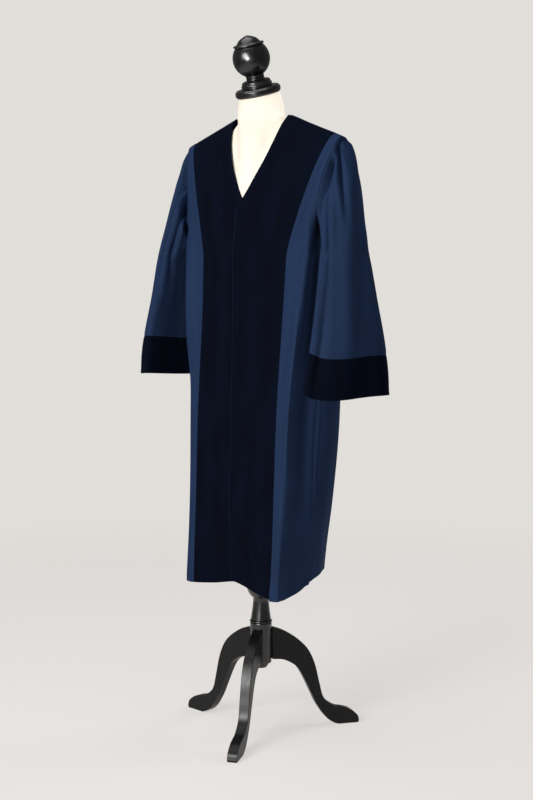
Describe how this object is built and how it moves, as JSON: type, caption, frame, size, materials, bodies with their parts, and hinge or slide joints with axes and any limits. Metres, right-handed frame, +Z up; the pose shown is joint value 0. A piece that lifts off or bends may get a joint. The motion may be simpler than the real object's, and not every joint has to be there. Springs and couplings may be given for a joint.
{
  "type": "judicial robe on a limbless dress form with a tripod stand",
  "caption": "Full-length judicial robe with velvet front bands and cuffs, worn on a limbless dress form with a turned finial and a curved tripod stand.",
  "frame": {"origin": "on the floor under the middle of the whole object's box, at the post", "axes": "+Z up, -Y is the front of the robe, +X is the wearer's left"},
  "size_m": [0.707, 0.4462, 1.6714],
  "materials": {
    "velvet": "deep navy velvet with a short nap",
    "navy_cloth": "fine navy gown cloth with a soft sheen",
    "ivory_form": "smooth ivory jersey over the form",
    "black_lacquer": "satin black lacquer on turned and sawn wood"
  },
  "bodies": {
    "root": {"front_band_left": "velvet", "front_band_right": "velvet", "cuff_left": "velvet", "cuff_right": "velvet", "side_front_left": "navy_cloth", "side_front_right": "navy_cloth", "back": "navy_cloth", "sleeve_left": "navy_cloth", "sleeve_right": "navy_cloth", "dress_form": "ivory_form", "neck_plate": "black_lacquer", "finial_collar": "black_lacquer", "finial_ball": "black_lacquer", "finial_cap": "black_lacquer", "post": "black_lacquer", "collar_ring": "black_lacquer", "hub": "black_lacquer", "leg_1": "black_lacquer", "leg_2": "black_lacquer", "leg_3": "black_lacquer"}
  },
  "joints": []
}
